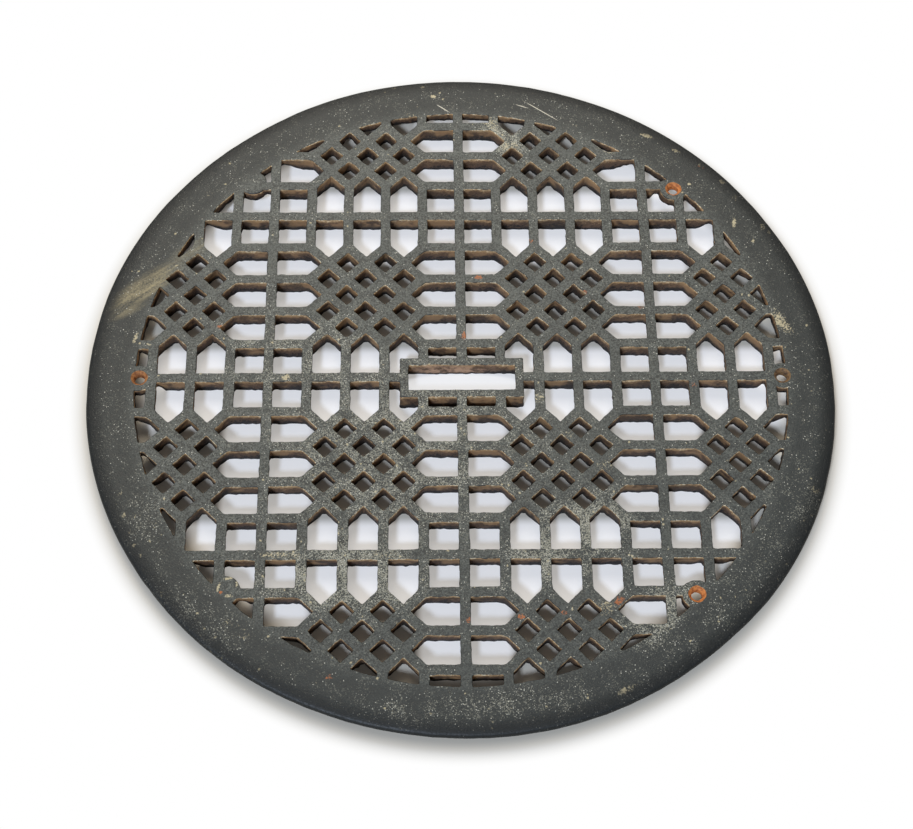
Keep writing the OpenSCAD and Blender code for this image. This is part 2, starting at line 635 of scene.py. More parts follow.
class MeshBook:
    """Vertices, faces and what each of them carries, gathered ring by ring."""

    def __init__(self) -> None:
        """Start empty."""
        self.points: list[np.ndarray] = []
        self.wear_and_light: list[np.ndarray] = []
        self.count = 0
        self.faces: list[tuple[int, ...]] = []
        self.skins: list[int] = []
        self.smooth: list[bool] = []

    def add_ring(self, points: np.ndarray, wear_and_light: float) -> Ring:
        """Add the points of one ring.

        Args:
            points: Positions in millimetres.
            wear_and_light: Wear of the ring, and down the walls the painted light and shade, from 0 to 1.

        Returns:
            The ring.
        """
        self.points.append(points)
        self.wear_and_light.append(np.full(len(points), wear_and_light))
        self.count += len(points)
        return Ring(np.arange(self.count - len(points), self.count), points)

    def add_faces(self, faces: Iterable[Sequence[int]], skin: Skin, smooth: bool) -> None:
        """Add faces of one skin.

        Args:
            faces: Vertex numbers of each face.
            skin: Their skin.
            smooth: Whether they are shaded smooth.
        """
        before = len(self.faces)
        self.faces.extend(tuple(int(n) for n in face) for face in faces)
        added = len(self.faces) - before
        self.skins.extend([skin.value] * added)
        self.smooth.extend([smooth] * added)

    def join(self, first: Ring, second: Ring, skin: Skin) -> None:
        """Join two rings of as many points. The faces look left of the way from the first to the second."""
        a, b = first.numbers, second.numbers
        self.add_faces(np.stack([a, np.roll(a, -1), np.roll(b, -1), b], -1), skin, True)

    def build(self, name: str) -> bpy.types.Object:
        """Make the mesh object, in metres.

        Args:
            name: Name of the object.

        Returns:
            The object, linked to the scene.
        """
        mesh = bpy.data.meshes.new(name)
        points = np.concatenate(self.points) * MM
        mesh.from_pydata(points.tolist(), [], self.faces)
        mesh.polygons.foreach_set("material_index", self.skins)
        mesh.polygons.foreach_set("use_smooth", self.smooth)
        wear_and_light = mesh.attributes.new("wear_and_light", "FLOAT", "POINT")
        wear_and_light.data.foreach_set("value", np.concatenate(self.wear_and_light).astype(np.float32))
        mesh.update()
        mesh.validate()
        piece = bpy.data.objects.new(name, mesh)
        bpy.context.scene.collection.objects.link(piece)
        return piece


def within(points: np.ndarray, loop: np.ndarray) -> np.ndarray:
    """Say which plan positions lie inside a closed loop.

    Args:
        points: Plan positions.
        loop: Plan positions round the loop.

    Returns:
        True for each position inside.
    """
    x, y = points[:, 0][:, None], points[:, 1][:, None]
    x0, y0 = loop.T
    x1, y1 = np.roll(loop, -1, axis=0).T
    crossed = (y0 > y) != (y1 > y)
    rise = np.where(y1 == y0, 1.0, y1 - y0)
    return ((crossed & (x < x0 + (y - y0) * (x1 - x0) / rise)).sum(1) % 2) == 1


@dataclass
class ScrewHole:
    """A countersunk screw hole through a boss. Its upper edge is narrower than drawn, for its rounding."""

    centre: np.ndarray
    wear_and_light: float
    points: int = 40
    narrowed: float = 0.25
    uneven: float = 0.09

    def rings(self, sizes: GrilleSizes) -> list[tuple[float, float]]:
        """List the rings from the top edge of the countersink to the underside.

        Args:
            sizes: Sizes of the casting.

        Returns:
            Radius and height of each ring in millimetres.
        """
        top, low, sink, hole = sizes.height, sizes.seat_z, sizes.sink_r - self.narrowed, sizes.hole_r
        depth = sink - hole
        return [
            (sink + 0.3, top),
            (sink + 0.06, top - 0.1),
            (sink - 0.12, top - 0.3),
            ((sink + hole) / 2 + 0.08, top - depth / 2 - 0.12),
            (hole + 0.22, top - depth),
            (hole, top - depth - 0.25),
            (hole - 0.03, (top - depth + low) / 2),
            (hole - 0.05, low + 0.7),
            (hole + 0.1, low + 0.25),
            (hole + 0.35, low + 0.05),
        ]

    def ring(self, radius: float, height: float) -> np.ndarray:
        """Shape one slightly uneven ring.

        Args:
            radius: Radius of the ring.
            height: Height of the ring.

        Returns:
            The ring's points in millimetres.
        """
        ways = around(self.points)
        uneven = radius + self.uneven * WALL_RIPPLE.at(self.centre + ways * radius, height)
        plan = self.centre + ways * uneven[:, None]
        return np.column_stack([plan, np.full(self.points, height)])


@dataclass
class Casting:
    """The whole grille: lattice, slot frame, bosses and rolled rim in one closed mesh.

    The edge of the rim is pulled in unevenly: edge_pull gives the mean, the long and the short waves of
    the pull, and the most that it may be. The joint_lift keeps the points of the slope off the seat.
    """

    sizes: GrilleSizes = SIZES
    segments: int = 440
    crown_steps: int = 7
    nose_steps: int = 13
    edge_pull: tuple[float, float, float, float] = (0.22, 0.16, 0.05, 0.7)
    joint_lift: float = 0.06
    clear_of_walls: float = 0.45
    sink_rust: tuple[float, ...] = (0.15, 0.9, 0.55, 1.0)
    book: MeshBook = field(default_factory=MeshBook)

    def build(self) -> bpy.types.Object:
        """Build the mesh.

        Returns:
            The casting's object.
        """
        openings = LatticePlan(self.sizes).openings()
        LOG.info("openings: %d", len(openings))
        top, bottom = [], []
        for opening in openings:
            rings = [self.book.add_ring(ring, level.wear_and_light) for ring, level in zip(opening.rings(), LEVELS)]
            for n, (upper, lower) in enumerate(zip(rings, rings[1:])):
                self.book.join(upper, lower, Skin.PAINT if n < 2 else Skin.WALL)
            top.append(rings[0])
            bottom.append(rings[-1])
        for centre, wear_and_light in zip(self.sizes.boss_centres, self.sink_rust):
            self._drill(ScrewHole(centre, wear_and_light), top, bottom)
        rim = self._rim()
        self._flat(top, rim[0], np.zeros((0, 2)), Skin.PAINT)
        self._flat(bottom, rim[-1], self._slope_points(openings), Skin.UNDERSIDE)
        return self.book.build("grille_casting")

    def _drill(self, hole: ScrewHole, top: list[Ring], bottom: list[Ring]) -> None:
        """Add a screw hole's wall.

        Args:
            hole: The screw hole.
            top: Holes in the top face so far, to which its upper edge is added.
            bottom: Holes in the underside so far, to which its lower edge is added.
        """
        rings: list[Ring] = []
        for radius, height in hole.rings(self.sizes):
            wear_and_light = hole.wear_and_light if rings else 0.0
            rings.append(self.book.add_ring(hole.ring(radius, height), wear_and_light))
        for upper, lower in zip(rings, rings[1:]):
            self.book.join(upper, lower, Skin.SINK)
        top.append(rings[0])
        bottom.append(rings[-1])

    def _rim_profile(self) -> list[tuple[float, float, Skin]]:
        """Work out the rim's section.

        Returns:
            Radius, height and skin of its points, from the top land round to the underside.
        """
        s = self.sizes
        run = s.roll_w - s.nose_r
        gap = (run * run + s.roll_fall * s.roll_fall) / (2 * s.roll_fall)
        crown, turn = gap + s.nose_r, math.asin(run / gap)
        flat_end = s.rim_r - s.roll_w
        section = [(s.land_r, s.height, Skin.PAINT), ((s.land_r + flat_end) / 2, s.height, Skin.PAINT)]
        for angle in np.linspace(0, turn, self.crown_steps):
            x, z = flat_end + crown * math.sin(angle), s.height - crown * (1 - math.cos(angle))
            section.append((x, z, Skin.PAINT))
        for angle in np.linspace(turn, math.pi, self.nose_steps)[1:]:
            x = s.rim_r - s.nose_r + s.nose_r * math.sin(angle)
            section.append((x, s.seat_z + s.nose_r * (1 + math.cos(angle)), Skin.PAINT))
        section.append((flat_end, s.seat_z, Skin.UNDERSIDE))
        section.append((s.land_r, s.seat_z, Skin.UNDERSIDE))
        return section

    def _rim(self) -> list[Ring]:
        """Add the rim.

        Returns:
            Its rings, from the top land to the underside.
        """
        ways = around(self.segments)
        long_wave, short_wave = Ripple(31, 45.0, 160.0), Ripple(32, 7.0, 20.0)
        edge = ways * self.sizes.rim_r
        mean, long_pull, short_pull, most = self.edge_pull
        pull = mean + long_pull * long_wave.at(edge) + short_pull * short_wave.at(edge)
        pull = np.clip(pull, 0.0, most)
        rings, skins = [], []
        for radius, height, skin in self._rim_profile():
            share = np.clip((radius - self.sizes.land_r) / (self.sizes.rim_r - self.sizes.land_r), 0, 1)
            plan = ways * (radius - pull * share)[:, None]
            rings.append(self.book.add_ring(np.column_stack([plan, np.full(len(plan), height)]), 0.0))
            skins.append(skin)
        for outer, inner, skin in zip(rings[1:], rings, skins[1:]):
            self.book.join(outer, inner, skin)
        return rings

    def _slope_points(self, openings: list[Opening]) -> np.ndarray:
        """Pick the points that hold the edges of the slope up to the seat and of the bosses' flats.

        Args:
            openings: The openings, which the points stay clear of.

        Returns:
            Plan positions.
        """
        s = self.sizes
        ways = around(360)
        spread = [s.seat_start * ways, (s.seat_start + s.seat_run) * ways]
        flat_edges = (s.boss_flat_r, s.boss_flat_r + s.boss_flat_edge)
        for centre in s.boss_centres:
            spread += [centre + reach * ways[::10] for reach in flat_edges]
        points = np.concatenate(spread)
        free = np.hypot(*points.T) < s.land_r - 1
        for opening in openings:
            free &= opening.clear(points, s.taper)[0] < -self.clear_of_walls
        for centre in s.boss_centres:
            free &= np.hypot(*(points - centre).T) > s.hole_r + 1
        return points[free]

    def _flat(self, loops: list[Ring], rim: Ring, free: np.ndarray, skin: Skin) -> None:
        """Fill the face between the rim and the holes with triangles.

        Args:
            loops: Holes in the face.
            rim: The face's outer ring.
            free: Plan points inside the face that join no ring.
            skin: Skin of the face.
        """
        rings = loops + [rim]
        numbers = np.concatenate([ring.numbers for ring in rings])
        plan = np.concatenate([ring.plan for ring in rings] + [free])
        owner = np.full(len(plan), -1)
        edges, start = [], 0
        for n, ring in enumerate(rings):
            size = len(ring.numbers)
            run = np.arange(start, start + size)
            edges.extend(zip(run.tolist(), np.roll(run, -1).tolist()))
            owner[run] = n
            start += size
        made = delaunay_2d_cdt([Vector(p) for p in plan.tolist()], edges, [], 0, 1e-7)
        crossed = [point for point, origin in zip(made[0], made[3]) if not origin]
        LOG.info("%s: %d crossings", skin.name, len(crossed))
        free = np.concatenate([free, np.array(crossed).reshape(-1, 2)])
        fresh = iter(range(len(plan), len(plan) + len(crossed)))
        sources = np.array([origin[0] if origin else next(fresh) for origin in made[3]])
        plan = np.concatenate([plan, free[len(free) - len(crossed):]])
        owner = np.append(owner, np.full(len(crossed), -1))
        if len(free):
            paint = skin is Skin.PAINT
            height = self.sizes.height if paint else self.sizes.underside(free) + self.joint_lift
            added = self.book.add_ring(np.column_stack([free, np.broadcast_to(height, len(free))]), 0.0)
            numbers = np.append(numbers, added.numbers)
        tris = sources[np.array(made[2])]
        same = (owner[tris] == owner[tris[:, :1]]).all(1)
        middles = plan[tris].mean(1)
        keep = np.ones(len(tris), bool)
        for n, loop in enumerate(loops):
            rows = np.flatnonzero(same & (owner[tris[:, 0]] == n))
            keep[rows] = ~within(middles[rows], loop.plan)
        tris = tris[keep]
        a, b, c = (plan[tris[:, k]] for k in range(3))
        area = (b[:, 0] - a[:, 0]) * (c[:, 1] - a[:, 1]) - (b[:, 1] - a[:, 1]) * (c[:, 0] - a[:, 0])
        wrong = (area > 0) == (skin is Skin.UNDERSIDE)
        tris[wrong] = tris[wrong][:, ::-1]
        self.book.add_faces(numbers[tris], skin, False)


@dataclass(frozen=True)
class Fade:
    """A smooth step of a value, from 0 at low to top at high."""

    low: float
    high: float
    top: float = 1.0


@dataclass(frozen=True)
class Share:
    """How much of something there is: so much where it is clean, and more with dirt."""

    clean: float
    dirt: float


class Graph:
    """A node tree, with short calls that add nodes and join them."""

    def __init__(self, tree: bpy.types.NodeTree) -> None:
        """Take the tree and empty it."""
        self.tree = tree
        tree.nodes.clear()

    def node(self, kind: str, inputs: dict[Any, Value] | None = None, **settings: Any) -> bpy.types.Node:
        """Add a node.

        Args:
            kind: Type of the node, without its ShaderNode prefix.
            inputs: Values or sockets for its inputs, by name or number.
            settings: Properties of the node.

        Returns:
            The node.
        """
        prefix = "" if kind.startswith("Node") else "ShaderNode"
        made = self.tree.nodes.new(prefix + kind)
        for name, value in settings.items():
            setattr(made, name, value)
        for name, value in (inputs or {}).items():
            self.feed(made.inputs[name], value)
        return made

    def feed(self, socket: Socket, value: Value) -> None:
        """Join a socket to an input, or set the input to a plain value.

        Args:
            socket: The input.
            value: The socket or the value.
        """
        if isinstance(value, bpy.types.NodeSocket):
            self.tree.links.new(value, socket)
        else:
            socket.default_value = value

    def math(self, operation: str, a: Value, b: Value = 0.0, clamp: bool = False) -> Socket:
        """Return the result of an operation on two values."""
        return self.node("Math", {0: a, 1: b}, operation=operation, use_clamp=clamp).outputs[0]

    def add(self, a: Value, b: Value, clamp: bool = False) -> Socket:
        """Return the sum of two values."""
        return self.math("ADD", a, b, clamp)

    def times(self, a: Value, b: Value) -> Socket:
        """Return the product of two values."""
        return self.math("MULTIPLY", a, b)

    def share(self, dirt: Socket, share: Share) -> Socket:
        """Return a share at a place, from how dirty it is there."""
        return self.add(self.times(dirt, share.dirt), share.clean)

    def fade(self, value: Value, fade: Fade) -> Socket:
        """Return a smooth step of a value."""
        inputs = {"Value": value, "From Min": fade.low, "From Max": fade.high, "To Max": fade.top}
        return self.node("MapRange", inputs, interpolation_type="SMOOTHSTEP").outputs[0]

    def blend(self, share: Value, a: Value, b: Value) -> Socket:
        """Return a colour between a and b."""
        return self.node("Mix", {0: share, 6: a, 7: b}, data_type="RGBA").outputs[2]

    def coats(self, colour: Value, *coats: tuple[Value, Value]) -> Socket:
        """Lay coats over a colour.

        Args:
            colour: The colour below.
            coats: The share and the colour of each coat, from the lowest to the topmost.

        Returns:
            The colour on top.
        """
        for share, coat in coats:
            colour = self.blend(share, colour, coat)
        return colour

    def vector(self, operation: str, a: Value, b: Value) -> Socket:
        """Return the vector that an operation on two vectors gives."""
        return self.node("VectorMath", {0: a, 1: b}, operation=operation).outputs[0]

    def scaled(self, where: Value, by: Value) -> Socket:
        """Return a vector times a value."""
        return self.node("VectorMath", {0: where, "Scale": by}, operation="SCALE").outputs[0]

    def length(self, where: Value) -> Socket:
        """Return the length of a vector."""
        return self.node("VectorMath", {0: where}, operation="LENGTH").outputs["Value"]

    def noise(self, where: Value, size: float, detail: float = 3.0, rough: float = 0.55) -> Socket:
        """Return noise from 0 to 1 whose largest lumps have a size in the vector's unit."""
        inputs = {"Vector": where, "Scale": 1 / size, "Detail": detail, "Roughness": rough}
        return self.node("TexNoise", inputs).outputs[0]

    def use(self, group: bpy.types.NodeTree, **inputs: Value) -> bpy.types.Node:
        """Place a node group.

        Args:
            group: The group.
            inputs: Values or sockets for its inputs, by name.

        Returns:
            The node.
        """
        made = self.node("Group", node_tree=group)
        for name, value in inputs.items():
            self.feed(made.inputs[name], value)
        return made


class GroupGraph(Graph):
    """The inside of a new shader node group."""

    def __init__(self, name: str, takes: dict[str, str], gives: dict[str, str]) -> None:
        """Make the group and its sockets.

        Args:
            name: Name of the group.
            takes: Socket type of each input, by name.
            gives: Socket type of each output, by name.
        """
        super().__init__(bpy.data.node_groups.new(name, "ShaderNodeTree"))
        for way, sockets in (("INPUT", takes), ("OUTPUT", gives)):
            for title, kind in sockets.items():
                self.tree.interface.new_socket(title, in_out=way, socket_type="NodeSocket" + kind)
        self.given = self.node("NodeGroupInput").outputs
        self.result = self.node("NodeGroupOutput").inputs


def cast_grain_group() -> bpy.types.NodeTree:
    """Make the group for the grain that sand leaves on a casting.

    Returns:
        A group that takes a position in millimetres and gives a shade, a height and the order in which
        the grains turn pale.
    """
    gives = {"Shade": "Float", "Height": "Float", "Pale": "Float"}
    g = GroupGraph("cast_grain", {"Position": "Vector", "Size": "Float"}, gives)
    pit_size, coarse_share, pit_share, elsewhere = 1.4, 0.16, 0.25, (31.0, 17.0, 5.0)
    scaled = g.scaled(g.given["Position"], g.given["Size"])
    fine = g.noise(scaled, 0.95, 2.0, 0.75)
    coarse = g.noise(scaled, 3.2, 3.0, 0.6)
    cells = g.node("TexVoronoi", {"Vector": scaled, "Scale": 1 / pit_size, "Randomness": 1.0})
    mixed = g.add(g.times(fine, 1 - coarse_share), g.times(coarse, coarse_share))
    between_pits = g.fade(cells.outputs["Distance"], Fade(0.05, 0.4))
    g.feed(g.result["Shade"], g.fade(mixed, Fade(0.42, 0.58)))
    g.feed(g.result["Height"], g.add(g.times(mixed, 1 - pit_share), g.times(between_pits, pit_share)))
    g.feed(g.result["Pale"], g.noise(g.vector("ADD", scaled, elsewhere), 0.75, 1.0, 0.6))
    return g.tree


def fleck_group() -> bpy.types.NodeTree:
    """Make the group for small flecks of dirt and lost paint.

    Returns:
        A group that takes a position in millimetres, a size and a cover from 0 to 1, and gives a mask.
    """
    takes = {"Position": "Vector", "Size": "Float", "Cover": "Float"}
    g = GroupGraph("flecks", takes, {"Mask": "Float"})
    bend = 0.9
    scaled = g.scaled(g.given["Position"], g.math("DIVIDE", 1.0, g.given["Size"]))
    bent = g.node("TexNoise", {"Vector": scaled, "Scale": 1.1, "Detail": 2.0}).outputs["Color"]
    moved = g.node("VectorMath", {0: bent, 1: (bend,) * 3, 2: scaled}, operation="MULTIPLY_ADD").outputs[0]
    cells = g.node("TexVoronoi", {"Vector": moved, "Scale": 1.0})
    drawn = g.node("SeparateColor", {0: cells.outputs["Color"]}).outputs[0]
    chosen = g.math("LESS_THAN", drawn, g.given["Cover"])
    g.feed(g.result["Mask"], g.times(chosen, g.fade(cells.outputs["Distance"], Fade(0.42, 0.22))))
    return g.tree


def rust_group() -> bpy.types.NodeTree:
    """Make the group for the colour of a rusty wall.

    Returns:
        A group that takes a position in millimetres and how light the rust is, from 0 at the foot of a wall
        to 1 at its top, which on the walls is painted shade, and gives a colour and a height.
    """
    takes = {"Position": "Vector", "Light": "Float"}
    g = GroupGraph("rust", takes, {"Color": "Color", "Height": "Float"})
    broad = g.noise(g.given["Position"], 11.0, 3.0, 0.6)
    fine = g.noise(g.given["Position"], 1.5, 3.0, 0.7)
    mix = g.add(g.times(broad, 1.0), g.times(fine, 1.1))
    level = g.add(g.times(g.given["Light"], 0.95), g.math("SUBTRACT", mix, 1.15))
    colour = g.coats(
        linear(34, 27, 22),
        (g.fade(level, Fade(-0.05, 0.34)), linear(104, 80, 60)),
        (g.fade(level, Fade(0.40, 0.80)), linear(178, 144, 104)),
        (g.fade(level, Fade(0.80, 1.0)), linear(240, 216, 172)),
    )
    g.feed(g.result["Color"], colour)
    g.feed(g.result["Height"], fine)
    return g.tree


def mark_group() -> bpy.types.NodeTree:
    """Make the group for one soft-edged mark.

    Returns:
        A group that takes the mark's place, turn, size and strength and the marks so far, and gives the
        stronger.
    """
    takes = dict.fromkeys(("Position", "Place", "Turn", "Size"), "Vector")
    takes |= dict.fromkeys(("Strength", "Below"), "Float")
    g = GroupGraph("mark", takes, {"Mask": "Float"})
    frame_of_mark = {
        "Vector": g.given["Position"],
        "Location": g.given["Place"],
        "Rotation": g.given["Turn"],
        "Scale": g.given["Size"],
    }
    local = g.node("Mapping", frame_of_mark, vector_type="TEXTURE").outputs[0]
    soft = g.node("TexGradient", {"Vector": local}, gradient_type="SPHERICAL").outputs[1]
    strong = g.times(g.fade(soft, Fade(0.0, 0.75)), g.given["Strength"])
    g.feed(g.result["Mask"], g.math("MAXIMUM", strong, g.given["Below"]))
    return g.tree


@dataclass
class Groups:
    """The node groups that the finishes share, each built once."""

    grain: bpy.types.NodeTree = field(default_factory=cast_grain_group)
    fleck: bpy.types.NodeTree = field(default_factory=fleck_group)
    rust: bpy.types.NodeTree = field(default_factory=rust_group)
    mark: bpy.types.NodeTree = field(default_factory=mark_group)


class MarkKind(Enum):
    """What a mark on the painted face is."""

    SHEEN = "sheen"
    DIRT = "dirt"
    CREAM = "cream"
    SCRATCH = "scratch"
    RUST = "rust"


@dataclass(frozen=True)
class Mark:
    """A mark on the painted face, in pitches from the middle, with its half sizes in millimetres."""

    u: float
    v: float
    length: float
    width: float
    degrees: float = 0.0
    strength: float = 1.0


MARKS: dict[MarkKind, tuple[Mark, ...]] = {
    # Painted sheen: a light streaky reflection on the rim at the upper left.
    MarkKind.SHEEN: (
        Mark(-8.35, 2.75, 32, 9.5, 40, 0.95),
        Mark(-8.75, 2.05, 16, 5, 30, 0.5),
        Mark(-7.2, 3.9, 20, 7, 35, 0.35),
    ),
    MarkKind.DIRT: (
        Mark(-1.5, -2.0, 110, 80, 10, 0.5),
        Mark(2.6, -4.6, 62, 34, 35, 0.72),
        Mark(-3.0, -5.6, 60, 34, 0, 0.75),
        Mark(-7.9, -3.9, 30, 17, 70, 0.24),
        Mark(-6.6, -7.0, 60, 20, -45, 0.3),
        Mark(4.6, -6.6, 34, 18, 40, 0.75),
        Mark(6.6, -6.2, 80, 20, 45, 0.13),
        Mark(0.6, -8.9, 90, 12, 4, 0.3),
        Mark(1.2, 7.6, 22, 15, -40, 0.75),
        Mark(-4.4, 0.6, 60, 40, 0, 0.45),
        Mark(8.6, -3.9, 16, 30, 20, 0.3),
    ),
    MarkKind.CREAM: (
        Mark(-8.5, 1.16, 7, 2, 75, 0.9),
        Mark(-6.8, 5.75, 5, 5, 0, 0.5),
        Mark(-4.54, 0.0, 4.5, 3.2, 20, 1.0),
        Mark(-8.1, 1.0, 4, 1.6, 0, 0.8),
        Mark(0.88, 8.1, 14, 9, -50, 0.55),
        Mark(1.43, 7.35, 13, 8, -40, 0.6),
        Mark(1.9, 6.7, 9, 6, -40, 0.45),
        Mark(5.27, 7.67, 8, 2.4, -22, 0.85),
        Mark(7.48, 4.76, 6, 3, 20, 0.55),
        Mark(8.43, 1.63, 7, 14, 25, 0.68),
        Mark(8.2, 4.55, 6, 2.5, 60, 0.5),
        # The broken ring on the blank boss at the lower left.
        Mark(-5.99, -5.83, 5.0, 1.7, 80, 0.88),
        Mark(-5.75, -6.07, 4.8, 1.6, 0, 0.88),
        Mark(-5.54, -5.75, 4.2, 1.6, 80, 0.88),
        Mark(-5.75, -5.6, 5.0, 1.6, 12, 0.88),
        # Lost paint along the rim at the upper right.
        Mark(4.1, 7.2, 9, 3.5, -35, 0.7),
        Mark(6.04, 7.15, 5, 2.2, -30, 0.75),
        Mark(6.70, 6.67, 3.5, 2.5, -40, 0.8),
        Mark(7.24, 6.12, 4, 2.4, -40, 0.95),
        Mark(6.32, 6.03, 1.8, 1.4, 0, 1.0),
        Mark(7.55, 5.56, 3.5, 4, 30, 0.65),
        Mark(7.45, 4.74, 2.2, 7, -8, 0.95),
        Mark(7.91, 4.16, 2.2, 2.6, 0, 0.8),
        Mark(8.23, 4.64, 2.6, 4, 20, 0.85),
        Mark(8.37, 4.46, 2.0, 2.6, 20, 0.8),
        # Spots on the rim at the lower left and the left, with one patch on the bars at the lower right.
        Mark(-5.4, -7.07, 20, 9, -40, 0.34),
        Mark(-8.1, -3.9, 6, 4, 0, 0.55),
        Mark(3.6, -2.6, 11, 9, 30, 0.6),
        Mark(-8.55, -3.3, 3.2, 1.8, 60, 0.8),
        Mark(-8.42, -3.9, 2.6, 1.8, 60, 0.8),
        Mark(-8.24, -4.35, 2.4, 1.6, 60, 0.75),
        Mark(-8.12, -4.72, 3.4, 1.8, 60, 0.8),
        Mark(-7.95, -5.0, 2.4, 1.6, 60, 0.75),
        # Patches on the bars.
        Mark(3.4, -6.5, 10, 8, 40, 0.62),
        Mark(2.7, -1.7, 8, 7, 0, 0.5),
        Mark(1.9, -0.65, 9, 6, 0, 0.62),
        Mark(2.1, 0.72, 7, 7, 0, 0.5),
        Mark(-1.25, 8.35, 12, 6, -20, 0.55),
        Mark(-2.0, -5.0, 12, 5, 0, 0.5),
        Mark(-4.6, -5.0, 26, 3.2, 0, 0.6),
        # Chips along the edge of the rim.
        Mark(-2.8, 9.22, 3, 1.6, 15, 0.9),
        Mark(-1.8, 9.36, 3, 1.5, 8, 0.9),
        Mark(-0.97, 9.4, 2.4, 1.4, 5, 0.9),
        Mark(-0.68, 9.05, 3, 2, 0, 0.8),
        Mark(8.84, -3.3, 3.5, 5, 60, 0.6),
        Mark(3.8, -8.53, 9, 3, 25, 0.72),
    ),
    MarkKind.SCRATCH: (
        Mark(2.35, 8.53, 20, 0.42, -36, 0.9),
        Mark(-0.41, 8.63, 7.5, 0.5, -37, 0.9),
        Mark(1.8, 8.7, 8, 0.5, -20, 0.7),
    ),
    MarkKind.RUST: (
        Mark(-5.93, -5.98, 1.8, 1.5, 0, 0.95),
        Mark(-5.58, -5.62, 1.5, 1.2, 0, 0.9),
        Mark(0.48, 3.03, 4.5, 2.5, 0, 0.75),
        Mark(0.07, 1.2, 2.5, 5, 0, 0.7),
        Mark(3.3, 2.55, 4, 3, 20, 0.7),
        Mark(4.76, 2.1, 4, 3, 0, 0.7),
        Mark(1.9, 4.18, 4, 2.5, 0, 0.7),
        Mark(2.8, 4.15, 4, 2.5, 0, 0.7),
        Mark(-6.29, 1.53, 3.5, 2, 0, 0.7),
        Mark(5.98, -0.27, 3, 3, 0, 0.7),
        Mark(3.74, -6.26, 6, 3.5, 40, 0.78),
        Mark(1.36, -6.66, 4, 2.5, 0, 0.7),
        Mark(0.07, -6.73, 3, 4, 0, 0.7),
        Mark(2.38, -6.56, 4, 2.5, 0, 0.7),
        Mark(-3.26, -8.16, 4, 2.5, 0, 0.7),
        Mark(6.7, 6.6, 5, 2.5, -30, 0.6),
        Mark(7.3, 6.1, 4, 2, -30, 0.5),
    ),
}


@dataclass(frozen=True)
class PaintedPoint:
    """What the coats of the paint read at a point of the surface, and the tree that they are built in."""

    g: Graph
    groups: Groups
    where: Socket
    grain: dict[str, Socket]
    patch: Socket
    crumb: Socket
    reach: Socket
    on_rim: Socket

    def marks(self, kind: MarkKind) -> Socket:
        """Chain the marks of one kind.

        Args:
            kind: Kind of mark.

        Returns:
            The mask of all of them.
        """
        below: Value = 0.0
        depth = 9.0
        for mark in MARKS[kind]:
            below = self.g.use(
                self.groups.mark,
                Position=self.where,
                Place=(mark.u * SIZES.pitch, mark.v * SIZES.pitch, SIZES.height),
                Turn=(0.0, 0.0, math.radians(mark.degrees)),
                Size=(mark.length, mark.width, depth),
                Strength=mark.strength,
                Below=below,
            ).outputs[0]
        return below

    def broken(self, marks: Socket, strength: float, fade: Fade) -> Socket:
        """Break marks up with the unevenness of the surface.

        Args:
            marks: Mask of the marks.
            strength: How much the marks count next to the unevenness.
            fade: Where the sum turns into bare metal, rust or dirt.

        Returns:
            The ragged mask.
        """
        g = self.g
        uneven = g.add(g.times(self.crumb, 0.6), g.times(self.patch, 0.4))
        return g.fade(g.add(uneven, g.times(marks, strength)), fade)


